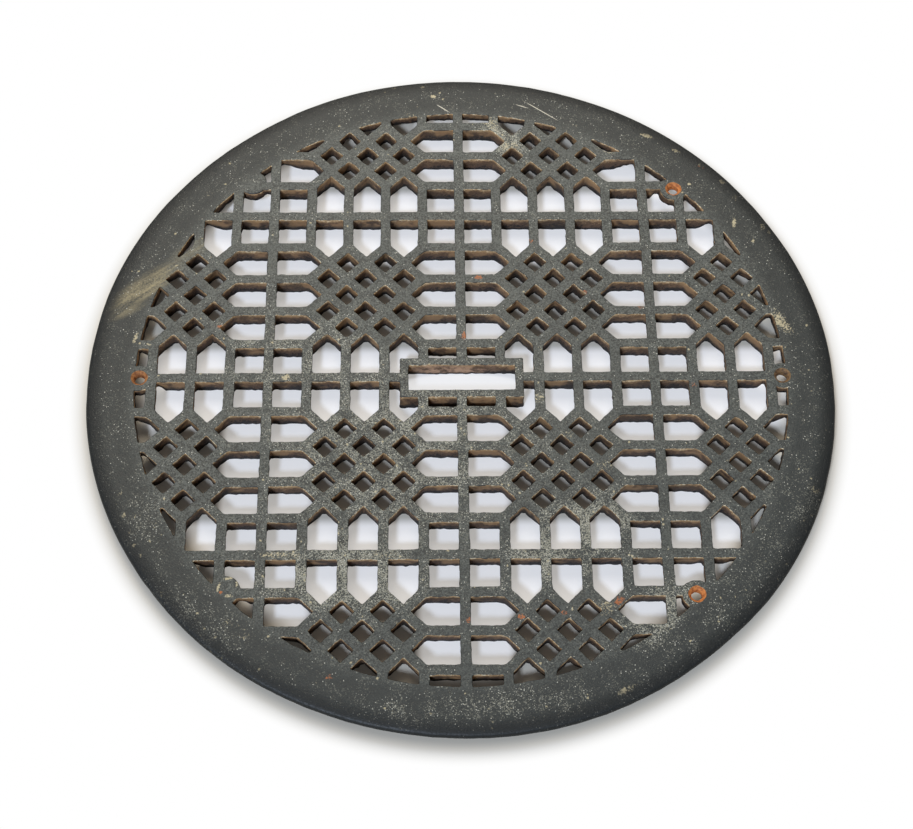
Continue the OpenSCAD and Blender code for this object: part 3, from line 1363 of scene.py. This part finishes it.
@dataclass(frozen=True)
class PaintFinish:
    """Old black paint on cast iron, greyed, flecked with dirt and with wear at the edges, with a painted
    sheen, painted highlights and painted shade.
    """

    name: str = "painted_iron"
    paint: Colour = linear(104, 107, 101)
    deep: Colour = linear(24, 28, 28)
    even: Colour = linear(74, 77, 74)
    even_rim: Colour = linear(58, 62, 60)
    faded: Colour = linear(90, 93, 88)
    pit: Colour = linear(20, 24, 24)
    stain: Colour = linear(38, 43, 43)
    rim: Colour = linear(32, 35, 35)
    # Painted shade on the side towards the viewer.
    near_side_shade: Colour = linear(48, 55, 57)
    pale: Colour = linear(176, 174, 156)
    sheen: Colour = linear(158, 146, 112)
    cream: Colour = linear(196, 184, 150)
    dot: Colour = linear(212, 210, 196)
    scratch: Colour = linear(206, 200, 182)
    rust: Colour = linear(176, 104, 58)
    # Painted highlight and painted shade on the rubbed edges of the bars.
    edge: Colour = linear(196, 158, 108)
    glint: Colour = linear(236, 222, 188)
    shaded_edge: Colour = linear(42, 41, 38)
    # Painted shade on the roll at the outer edge of the rim.
    roll_shade: Colour = linear(22, 25, 26)
    pits: Share = Share(clean=0.12, dirt=0.6)
    stains: Share = Share(clean=0.12, dirt=0.35)
    speckles: Share = Share(clean=0.25, dirt=0.45)
    flecks: Share = Share(clean=0.055, dirt=0.62)
    # Way in the plan along which the painted shade deepens, towards the viewer.
    shade_way: tuple[float, float, float] = (0.45, -0.89, 0.0)
    relief: float = 0.26

    def build(self, groups: Groups) -> bpy.types.Material:
        """Build the material.

        Args:
            groups: The shared groups.

        Returns:
            The material.
        """
        material, g, shader, where = start_material(self.name)
        grain = g.use(groups.grain, Position=where, Size=1.0).outputs
        reach = g.length(g.vector("MULTIPLY", where, (1.0, 1.0, 0.0)))
        point = PaintedPoint(
            g,
            groups,
            where,
            grain={name: grain[name] for name in ("Shade", "Height", "Pale")},
            patch=g.noise(where, 9.0, 4.0, 0.62),
            crumb=g.noise(where, 1.1, 2.0, 0.6),
            reach=reach,
            on_rim=g.fade(reach, Fade(SIZES.window_r - 4, SIZES.window_r + 8)),
        )
        dirt = point.marks(MarkKind.DIRT)
        colour = self._ground(point, dirt)
        colour, flecks = self._grime_and_sheen(point, dirt, colour)
        colour = self._damage(point, colour)
        g.feed(shader.inputs["Base Color"], self._edges(point, colour))
        shader.inputs["Specular IOR Level"].default_value = 0.4
        rough = g.add(g.times(point.grain["Shade"], 0.12), 0.46)
        g.feed(shader.inputs["Roughness"], g.add(rough, g.times(flecks, 0.3), clamp=True))
        height = g.add(point.grain["Height"], g.times(point.patch, 0.9))
        finish_bump(g, shader, g.add(height, g.times(flecks, 0.25)), self.relief)
        return material

    def _ground(self, point: PaintedPoint, dirt: Socket) -> Socket:
        """Paint the grainy ground: evener on the rim and darker in the pits, with painted shade towards the
        viewer and on the far side of the rim.

        Args:
            point: What the coats read.
            dirt: Mask of the dirty areas.

        Returns:
            The colour.
        """
        g = point.g
        clean = g.math("SUBTRACT", 1.0, g.times(dirt, 1.3), clamp=True)
        evened = g.times(clean, g.add(g.times(point.on_rim, 0.42), 0.28))
        # Painted shade: darker across the plan towards the viewer, and darker on the far side of the rim.
        along_shade_way = g.node("VectorMath", {0: point.where, 1: self.shade_way}, operation="DOT_PRODUCT")
        low = along_shade_way.outputs["Value"]
        far_rim_shade = g.times(point.on_rim, g.fade(low, Fade(-20, -150, 0.2)))
        return g.coats(
            g.blend(point.grain["Shade"], self.deep, self.paint),
            (evened, g.blend(point.on_rim, self.even, self.even_rim)),
            (g.fade(g.noise(point.where, 46.0, 3.0, 0.6), Fade(0.35, 0.7, 0.2)), self.faded),
            (g.times(g.share(dirt, self.pits), g.fade(point.crumb, Fade(0.47, 0.36))), self.pit),
            (g.times(g.fade(point.patch, Fade(0.50, 0.36)), g.share(dirt, self.stains)), self.stain),
            (g.times(point.on_rim, 0.54), self.rim),
            (g.fade(low, Fade(-40, 190, 0.35)), self.near_side_shade),
            (far_rim_shade, self.rim),
        )

    def _grime_and_sheen(self, point: PaintedPoint, dirt: Socket, colour: Socket) -> tuple[Socket, Socket]:
        """Lay speckles, a painted sheen in brushed streaks, and flecks over the ground.

        Args:
            point: What the coats read.
            dirt: Mask of the dirty areas.
            colour: The colour so far.

        Returns:
            The colour, and the mask of the flecks.
        """
        g = point.g
        speckled = g.add(g.times(dirt, 0.20), g.times(point.patch, 0.42))
        speckle = g.fade(g.add(point.grain["Pale"], speckled), Fade(0.82, 0.93))
        # Painted sheen: light streaks where the sheen marks lie.
        brushed = {"Vector": point.where, "Rotation": (0, 0, math.radians(38)), "Scale": (9.0, 0.8, 1.0)}
        streak = g.noise(g.node("Mapping", brushed, vector_type="TEXTURE").outputs[0], 3.0, 3.0, 0.6)
        streaky = g.fade(g.add(streak, g.times(point.crumb, 0.7)), Fade(0.5, 1.15))
        clumps = g.times(g.share(dirt, self.flecks), g.fade(point.patch, Fade(0.34, 0.62, 1.3)))
        fleck = point.groups.fleck
        small = g.use(fleck, Position=point.where, Size=0.8, Cover=clumps).outputs[0]
        large = g.use(fleck, Position=point.where, Size=1.9, Cover=g.times(clumps, 0.16)).outputs[0]
        colour = g.coats(
            colour,
            (g.times(speckle, g.share(dirt, self.speckles)), self.pale),
            (g.times(point.marks(MarkKind.SHEEN), streaky), self.sheen),
            (g.times(large, 0.8), self.cream),
            (g.times(small, 0.92), self.dot),
        )
        return colour, g.math("MAXIMUM", small, large)

    def _damage(self, point: PaintedPoint, colour: Socket) -> Socket:
        """Lay lost paint, scratches and rust spots over the colour.

        Args:
            point: What the coats read.
            colour: The colour so far.

        Returns:
            The colour.
        """
        g = point.g
        bare = point.broken(point.marks(MarkKind.CREAM), 0.34, Fade(0.7, 0.82))
        rusty = point.broken(point.marks(MarkKind.RUST), 0.4, Fade(0.72, 0.86))
        scratched = g.add(point.marks(MarkKind.SCRATCH), g.times(point.crumb, 0.8))
        return g.coats(
            colour,
            (g.times(bare, 0.85), self.cream),
            (g.fade(scratched, Fade(0.75, 1.1)), self.scratch),
            (g.times(rusty, 0.9), self.rust),
        )

    def _edges(self, point: PaintedPoint, colour: Socket) -> Socket:
        """Paint the rubbed edges of the bars, with a painted highlight in gold where they face the viewer
        and the key light and painted shade where they face away, and paint shade on the roll at the outer
        edge of the rim.

        Args:
            point: What the coats read.
            colour: The colour so far.

        Returns:
            The colour.
        """
        g = point.g
        wear_and_light = g.node("Attribute", attribute_name="wear_and_light").outputs["Fac"]
        facing = g.node("SeparateXYZ", {0: g.node("NewGeometry").outputs["Normal"]}).outputs[1]
        # Painted highlight: rubbed edges that face the viewer and the key light turn gold; the others take
        # painted shade.
        gold_highlight = g.times(g.fade(facing, Fade(-0.1, -0.5)), g.fade(point.patch, Fade(0.40, 0.52)))
        bright = g.blend(g.fade(point.crumb, Fade(0.5, 0.6)), self.edge, self.glint)
        # Painted shade: the roll darkens towards the outer edge of the rim.
        roll_shade_band = Fade(SIZES.rim_r - SIZES.roll_w - 1, SIZES.rim_r - 3, 0.8)
        return g.coats(
            colour,
            (g.fade(g.add(wear_and_light, point.crumb), Fade(0.85, 1.3)), g.blend(gold_highlight, self.shaded_edge, bright)),
            (g.fade(point.reach, roll_shade_band), self.roll_shade),
        )


@dataclass(frozen=True)
class WallFinish:
    """Rusty walls inside the openings, bare in the lever slot, with a painted highlight in gold at the top,
    rust darkened by painted shade towards the foot and a black painted contact shadow at the foot.
    """

    name: str = "rusty_wall"
    soot: Colour = linear(58, 50, 42)
    # Colour of the painted highlight on the upper walls.
    gold_highlight: Colour = linear(186, 148, 104)
    bare: Colour = linear(206, 168, 136)
    # Colour of the painted contact shadow at the foot of the walls.
    foot: Colour = linear(13, 10, 8)
    bare_at: tuple[float, float, float] = (-5.0, 7.4, 7.0)
    bare_size: tuple[float, float, float] = (34.0, 4.0, 14.0)
    relief: float = 0.35

    def build(self, groups: Groups) -> bpy.types.Material:
        """Build the material.

        Args:
            groups: The shared groups.

        Returns:
            The material.
        """
        material, g, shader, where = start_material(self.name)
        wear_and_light = g.node("Attribute", attribute_name="wear_and_light").outputs["Fac"]
        rust = g.use(groups.rust, Position=where, Light=wear_and_light).outputs
        mark = g.use(
            groups.mark,
            Position=where,
            Place=self.bare_at,
            Turn=(0.0, 0.0, 0.0),
            Size=self.bare_size,
            Strength=0.9,
        ).outputs[0]
        # Painted highlight: gold patches on the upper walls.
        lit = g.fade(g.noise(where, 16.0, 3.0, 0.6), Fade(0.5, 0.62, 0.6))
        lit = g.times(lit, g.fade(wear_and_light, Fade(0.1, 0.4)))
        colour = g.coats(
            rust["Color"],
            (g.fade(g.noise(where, 34.0, 2.0, 0.5), Fade(0.46, 0.66, 0.5)), self.soot),
            (lit, self.gold_highlight),
            (g.times(mark, g.fade(g.noise(where, 5.0, 4.0, 0.65), Fade(0.36, 0.62))), self.bare),
            # Painted contact shadow: near black at the foot of each wall.
            (g.fade(wear_and_light, Fade(0.13, 0.05, 0.96)), self.foot),
        )
        g.feed(shader.inputs["Base Color"], colour)
        shader.inputs["Roughness"].default_value = 0.82
        finish_bump(g, shader, rust["Height"], self.relief)
        return material


@dataclass(frozen=True)
class SinkFinish:
    """Countersinks and screw holes, from bare dark metal to bright orange rust."""

    name: str = "rusty_sink"
    orange: tuple[Colour, Colour] = (linear(150, 84, 42), linear(216, 138, 74))
    dark: tuple[Colour, Colour] = (linear(58, 54, 44), linear(112, 96, 66))
    relief: float = 0.25

    def build(self, groups: Groups) -> bpy.types.Material:
        """Build the material.

        Args:
            groups: The shared groups, of which it needs none.

        Returns:
            The material.
        """
        material, g, shader, where = start_material(self.name)
        wear_and_light = g.node("Attribute", attribute_name="wear_and_light").outputs["Fac"]
        fine = g.noise(where, 1.6, 3.0, 0.6)
        mottled = g.fade(fine, Fade(0.3, 0.66))
        colour = g.blend(wear_and_light, g.blend(mottled, *self.dark), g.blend(mottled, *self.orange))
        g.feed(shader.inputs["Base Color"], colour)
        shader.inputs["Roughness"].default_value = 0.7
        finish_bump(g, shader, fine, self.relief)
        return material


@dataclass(frozen=True)
class UndersideFinish:
    """The unpainted underside: dark iron with patches of brown rust."""

    name: str = "bare_underside"
    iron: tuple[Colour, Colour] = (linear(44, 42, 40), linear(74, 68, 62))
    rust_light: float = 0.25
    relief: float = 0.3

    def build(self, groups: Groups) -> bpy.types.Material:
        """Build the material.

        Args:
            groups: The shared groups.

        Returns:
            The material.
        """
        material, g, shader, where = start_material(self.name)
        grain = g.use(groups.grain, Position=where, Size=0.8).outputs
        rust = g.use(groups.rust, Position=where, Light=self.rust_light).outputs
        rusted = g.fade(g.noise(where, 30.0, 4.0, 0.6), Fade(0.4, 0.62))
        colour = g.blend(rusted, g.blend(grain["Shade"], *self.iron), rust["Color"])
        g.feed(shader.inputs["Base Color"], colour)
        shader.inputs["Roughness"].default_value = 0.8
        finish_bump(g, shader, grain["Height"], self.relief)
        return material


def start_material(name: str) -> tuple[bpy.types.Material, Graph, bpy.types.Node, Socket]:
    """Start a material with a Principled shader and the position in millimetres.

    Args:
        name: Name of the material.

    Returns:
        The material, its graph, the shader node and the position socket.
    """
    material = bpy.data.materials.new(name)
    material.use_nodes = True
    g = Graph(material.node_tree)
    out = g.node("OutputMaterial")
    shader = g.node("BsdfPrincipled")
    g.feed(out.inputs["Surface"], shader.outputs[0])
    return material, g, shader, g.scaled(g.node("TexCoord").outputs["Object"], 1 / MM)


def finish_bump(g: Graph, shader: bpy.types.Node, height: Socket, depth: float) -> None:
    """Add relief to a shader.

    Args:
        g: Tree to add to.
        shader: Shader node.
        height: Height socket, about 0 to 1.
        depth: Depth of the relief in millimetres.
    """
    bump = g.node("Bump", {"Strength": 1.0, "Distance": depth * MM, "Height": height})
    g.feed(shader.inputs["Normal"], bump.outputs[0])


@dataclass(frozen=True)
class PaperFinish:
    """White paper on the floor, in metres.

    Its colour holds painted light and shade: lavender lit paper under the large openings, and darker beige
    painted shade under the diamonds and near the window's edge, most on the near side. The camera sees it
    turn white outside the rim, and a painted glow makes it white in the lever slot and brighter under the
    large openings than under the diamonds. No ray but the camera's meets that glow.
    """

    name: str = "white_paper"
    lit_paper: Colour = (0.91, 0.925, 0.97, 1.0)
    shaded_paper: Colour = (0.62, 0.58, 0.50, 1.0)
    white: Colour = (1.0, 1.0, 1.0, 1.0)
    warm_white: Colour = (1.0, 0.96, 0.90, 1.0)
    lit_from: tuple[float, float, float] = (0.002, 0.008, 0.0)
    window: Fade = Fade(0.18, 0.169)
    outside: Fade = Fade(0.2, 0.215)
    slot_stretch: tuple[float, float, float] = (0.25, 1.0, 1.0)
    slot: Fade = Fade(0.0115, 0.0075, 0.7)
    open_glow: float = 0.38
    least_glow: float = 0.02

    def build(self) -> bpy.types.Material:
        """Build the material.

        Returns:
            The material.
        """
        material = bpy.data.materials.new(self.name)
        material.use_nodes = True
        g = Graph(material.node_tree)
        where = g.node("TexCoord").outputs["Object"]
        # Painted shade: paper near the window's edge, most on the near side, and paper under the diamonds
        # take the shaded colour.
        apart = g.node("VectorMath", {0: where, 1: self.lit_from}, operation="DISTANCE").outputs["Value"]
        open_above = g.times(self._open_above(g, where), g.fade(apart, self.window))
        paper = g.node("BsdfDiffuse", {"Color": g.blend(open_above, self.shaded_paper, self.lit_paper)})
        # Painted glow for the camera: white in the slot, and brighter under the large openings.
        in_slot = g.fade(g.length(g.vector("MULTIPLY", where, self.slot_stretch)), self.slot)
        bright = g.math("MAXIMUM", g.fade(g.length(where), self.outside), in_slot)
        bright = g.math("MAXIMUM", bright, g.add(g.times(open_above, self.open_glow), self.least_glow))
        tint = g.blend(g.fade(bright, Fade(0.2, 0.6)), self.warm_white, self.white)
        glow = g.node("Emission", {"Color": tint})
        seen = g.node("LightPath").outputs["Is Camera Ray"]
        mix = g.node("MixShader", {0: g.times(bright, seen), 1: paper.outputs[0], 2: glow.outputs[0]})
        g.feed(g.node("OutputMaterial").inputs["Surface"], mix.outputs[0])
        return material

    @staticmethod
    def _open_above(g: Graph, where: Socket) -> Socket:
        """Say where the floor lies under large openings, and not under the diamonds.

        Args:
            g: Tree to add to.
            where: Position in metres.

        Returns:
            1 under large openings and 0 under the diamonds.
        """
        scaled = g.scaled(where, 1 / (SIZES.cell * SIZES.pitch * MM))
        inside = g.node("VectorMath", {0: scaled}, operation="FRACTION").outputs[0]
        off = g.vector("ADD", inside, (-0.5, -0.5, 0.0))
        parts = g.node("SeparateXYZ", {0: g.node("VectorMath", {0: off}, operation="ABSOLUTE").outputs[0]})
        away = g.math("MAXIMUM", parts.outputs[0], parts.outputs[1])
        return g.fade(away, Fade(0.24, 0.30))


@dataclass(frozen=True)
class Stage:
    """Pale floor, soft light and the camera at the photograph's angle.

    The camera's turn is in radians about its x, y and z axes, and its shift is in pitches.
    """

    image: tuple[int, int] = (913, 829)
    focal_px: float = 1847.96
    sensor: float = 36.0
    clip: tuple[float, float] = (0.05, 20.0)
    turn: tuple[float, float, float] = (2.648893, -0.018155, -0.004526)
    shift: tuple[float, float, float] = (0.1370, -0.9811, 47.7346)
    floor_half: float = 3.0
    floor_z: float = -0.0002
    room: tuple[Colour, float] = ((1.0, 0.95, 0.88, 1.0), 0.15)
    backdrop: tuple[Colour, float] = ((1.0, 1.0, 1.0, 1.0), 1.0)
    key_from: tuple[float, float, float] = (-0.385, -0.81, 1.0)
    key_energy: float = 2.35
    key_degrees: float = 10.0
    key_colour: tuple[float, float, float] = (0.73, 0.83, 1.0)
    soft_at: tuple[float, float, float] = (-0.12, 0.72, 1.0)
    soft_size: float = 1.0
    soft_energy: float = 11.0
    soft_colour: tuple[float, float, float] = (1.0, 0.92, 0.80)

    def floor(self) -> bpy.types.Object:
        """Lay the floor.

        Returns:
            The floor's object.
        """
        mesh = bpy.data.meshes.new("floor")
        half = self.floor_half
        corners = [(-half, -half, 0.0), (half, -half, 0.0), (half, half, 0.0), (-half, half, 0.0)]
        mesh.from_pydata(corners, [], [(0, 1, 2, 3)])
        piece = bpy.data.objects.new("floor", mesh)
        bpy.context.scene.collection.objects.link(piece)
        piece.location.z = self.floor_z
        mesh.materials.append(PaperFinish().build())
        return piece

    def world(self) -> None:
        """Set the world: a dim warm room that the camera sees as a white backdrop."""
        world = bpy.data.worlds.new("room")
        bpy.context.scene.world = world
        world.use_nodes = True
        g = Graph(world.node_tree)
        room, backdrop = (
            g.node("Background", {"Color": colour, "Strength": strength}).outputs[0]
            for colour, strength in (self.room, self.backdrop)
        )
        seen = g.node("LightPath").outputs["Is Camera Ray"]
        mix = g.node("MixShader", {0: seen, 1: room, 2: backdrop})
        g.feed(g.node("OutputWorld").inputs["Surface"], mix.outputs[0])

    def lights(self) -> None:
        """Hang the key light and the soft light."""
        sun = bpy.data.lights.new("key", "SUN")
        sun.energy, sun.angle, sun.color = self.key_energy, math.radians(self.key_degrees), self.key_colour
        self._aim(sun, Vector(self.key_from) * 3)
        soft = bpy.data.lights.new("overhead", "AREA")
        soft.shape, soft.size = "DISK", self.soft_size
        soft.energy, soft.color = self.soft_energy, self.soft_colour
        self._aim(soft, Vector(self.soft_at))

    @staticmethod
    def _aim(light: bpy.types.Light, place: Vector) -> None:
        """Hang a light at a place, pointing at the middle of the floor.

        Args:
            light: The light.
            place: Its place in metres.
        """
        lamp = bpy.data.objects.new(light.name, light)
        bpy.context.scene.collection.objects.link(lamp)
        lamp.location = place
        lamp.rotation_euler = (-place).to_track_quat("-Z", "Y").to_euler()

    def camera(self) -> None:
        """Set up the camera."""
        lens = bpy.data.cameras.new("camera")
        lens.sensor_fit = "HORIZONTAL"
        lens.sensor_width = self.sensor
        lens.lens = self.focal_px / self.image[0] * self.sensor
        lens.clip_start, lens.clip_end = self.clip
        camera = bpy.data.objects.new("camera", lens)
        bpy.context.scene.collection.objects.link(camera)
        rx, ry, rz = self.turn
        view = Matrix.Rotation(rz, 3, "Z") @ Matrix.Rotation(ry, 3, "Y") @ Matrix.Rotation(rx, 3, "X")
        place = -(view.transposed() @ Vector(self.shift)) * SIZES.pitch * MM
        place.z += SIZES.height * MM
        pose = (view.transposed() @ Matrix.Diagonal((1.0, -1.0, -1.0))).to_4x4()
        pose.translation = place
        camera.matrix_world = pose
        bpy.context.scene.camera = camera


def main() -> None:
    """Build the casting, dress it and set the stage."""
    logging.basicConfig(level=logging.INFO, format="%(name)s: %(message)s")
    bpy.context.scene.view_settings.view_transform = "Standard"
    groups = Groups()
    casting = Casting().build()
    finishes = {
        Skin.PAINT: PaintFinish(),
        Skin.WALL: WallFinish(),
        Skin.SINK: SinkFinish(),
        Skin.UNDERSIDE: UndersideFinish(),
    }
    for skin in Skin:
        casting.data.materials.append(finishes[skin].build(groups))
    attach(casting, "root")
    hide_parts("grille")
    LOG.info("casting: %d faces", len(casting.data.polygons))
    stage = Stage()
    stage.floor()
    stage.world()
    stage.lights()
    stage.camera()


if __name__ == "__main__":
    main()
